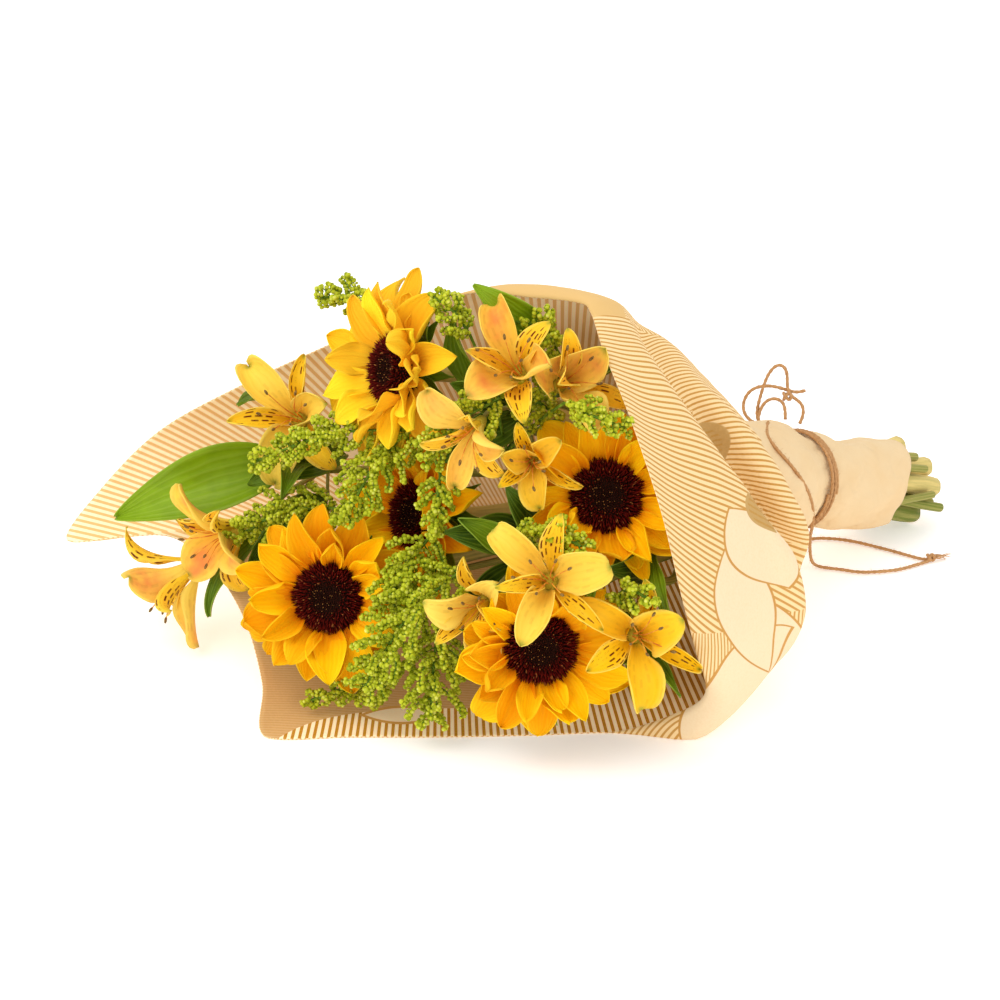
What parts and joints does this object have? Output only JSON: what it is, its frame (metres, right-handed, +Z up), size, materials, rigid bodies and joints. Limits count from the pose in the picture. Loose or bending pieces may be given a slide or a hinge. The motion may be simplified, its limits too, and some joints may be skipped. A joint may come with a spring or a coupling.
{
  "type": "bunch of sunflowers",
  "caption": "Hand-tied bunch of sunflowers, alstroemeria and solidago in a striped paper wrap, its stems in cream paper bound with jute twine, lying on its side.",
  "frame": {"origin": "on the table, under the middle of the bunch's box, measured without the free twine", "axes": "+Z up from the table; the blooms look towards -X and -Y, and the cut stems point to +X and +Y"},
  "size_m": [0.5582, 0.3804, 0.2568],
  "materials": {
    "kraft_paper": "matt striped paper",
    "cream_paper": "matt crumpled paper",
    "jute": "hairy two-ply twine",
    "ray_petals": "soft satin petal",
    "florets": "rough florets",
    "sunflower_green": "downy stem and bracts",
    "tepals": "silky tepal with dark flecks",
    "leaves": "satin leaf",
    "solidago_green": "matt buds on green twigs"
  },
  "bodies": {
    "root": {"wrapping_paper": "kraft_paper", "stem_paper": "cream_paper", "twine_binding": "jute", "twine_bow": "jute", "twine_tail": "jute", "alstroemeria_a1": "tepals", "alstroemeria_a2": "tepals", "alstroemeria_a3": "tepals", "alstroemeria_b1": "tepals", "alstroemeria_b2": "tepals", "alstroemeria_b3": "tepals", "alstroemeria_b4": "tepals", "alstroemeria_c1": "tepals", "alstroemeria_c2": "tepals", "alstroemeria_d1": "tepals", "alstroemeria_stem_a": "leaves", "alstroemeria_stem_b": "leaves", "alstroemeria_stem_c": "leaves", "alstroemeria_stem_d": "leaves", "solidago_1": "solidago_green", "solidago_2": "solidago_green", "solidago_3": "solidago_green", "solidago_4": "solidago_green", "sunflower_1_disc": "florets", "sunflower_1_petals": "ray_petals", "sunflower_1_stem": "sunflower_green", "sunflower_2_disc": "florets", "sunflower_2_petals": "ray_petals", "sunflower_2_stem": "sunflower_green", "sunflower_3_disc": "florets", "sunflower_3_petals": "ray_petals", "sunflower_3_stem": "sunflower_green", "sunflower_4_disc": "florets", "sunflower_4_petals": "ray_petals", "sunflower_4_stem": "sunflower_green", "sunflower_5_disc": "florets", "sunflower_5_petals": "ray_petals", "sunflower_5_stem": "sunflower_green"}
  },
  "joints": []
}
